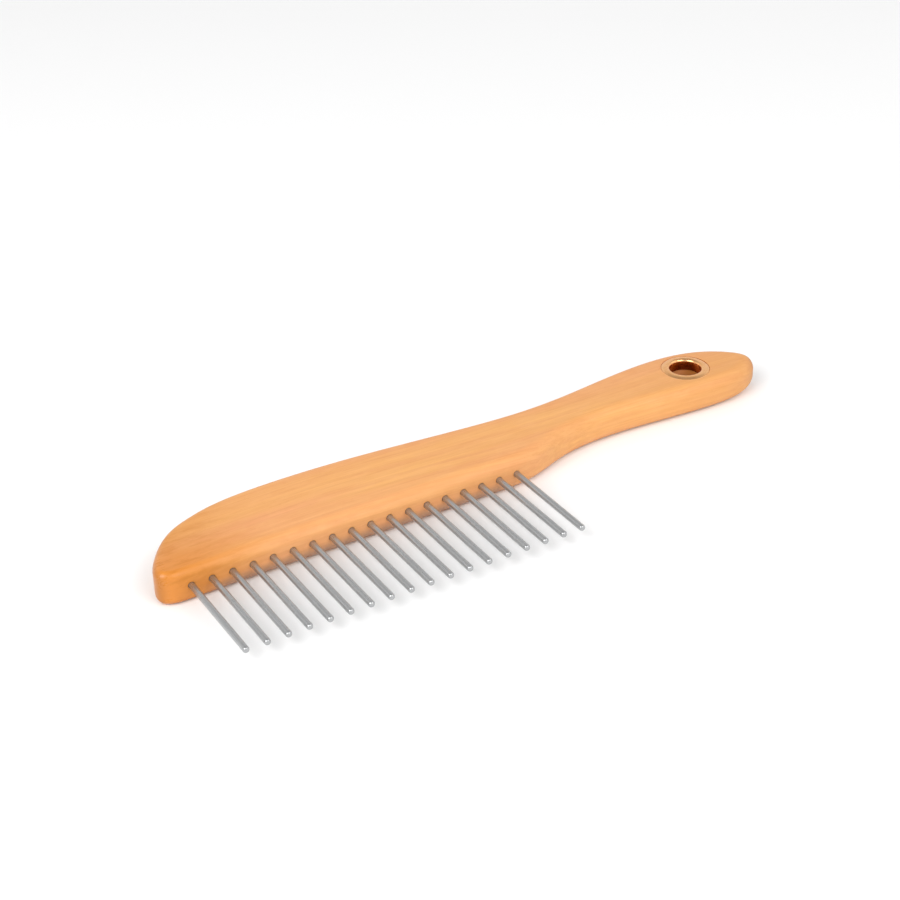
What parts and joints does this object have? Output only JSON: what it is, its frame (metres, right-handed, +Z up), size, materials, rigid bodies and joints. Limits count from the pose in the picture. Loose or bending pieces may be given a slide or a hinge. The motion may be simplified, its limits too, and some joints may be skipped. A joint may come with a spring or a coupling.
{
  "type": "hand comb for yarn and fibre",
  "caption": "Flat wooden hand comb with a waisted grip, a straight row of round steel pins along its front edge and a brass-lined hanging hole near the handle's end.",
  "frame": {"origin": "middle of the whole comb's footprint, at the level of the surface it lies on", "axes": "+X along the row of pins towards the handle's end, +Y from the pin tips towards the comb's back, +Z up out of the face with the proud eyelet"},
  "size_m": [0.2204, 0.0676, 0.0114],
  "materials": {
    "body_wood": "clear satin lacquer on pale straight-grained hardwood",
    "pin_steel": "drawn wire, satin, with rounded tips",
    "eyelet_brass": "pressed sheet, polished"
  },
  "bodies": {
    "root": {"body": "body_wood", "pin_01": "pin_steel", "pin_02": "pin_steel", "pin_03": "pin_steel", "pin_04": "pin_steel", "pin_05": "pin_steel", "pin_06": "pin_steel", "pin_07": "pin_steel", "pin_08": "pin_steel", "pin_09": "pin_steel", "pin_10": "pin_steel", "pin_11": "pin_steel", "pin_12": "pin_steel", "pin_13": "pin_steel", "pin_14": "pin_steel", "pin_15": "pin_steel", "pin_16": "pin_steel", "pin_17": "pin_steel", "pin_18": "pin_steel", "eyelet_upper": "eyelet_brass", "eyelet_lower": "eyelet_brass"}
  },
  "joints": []
}
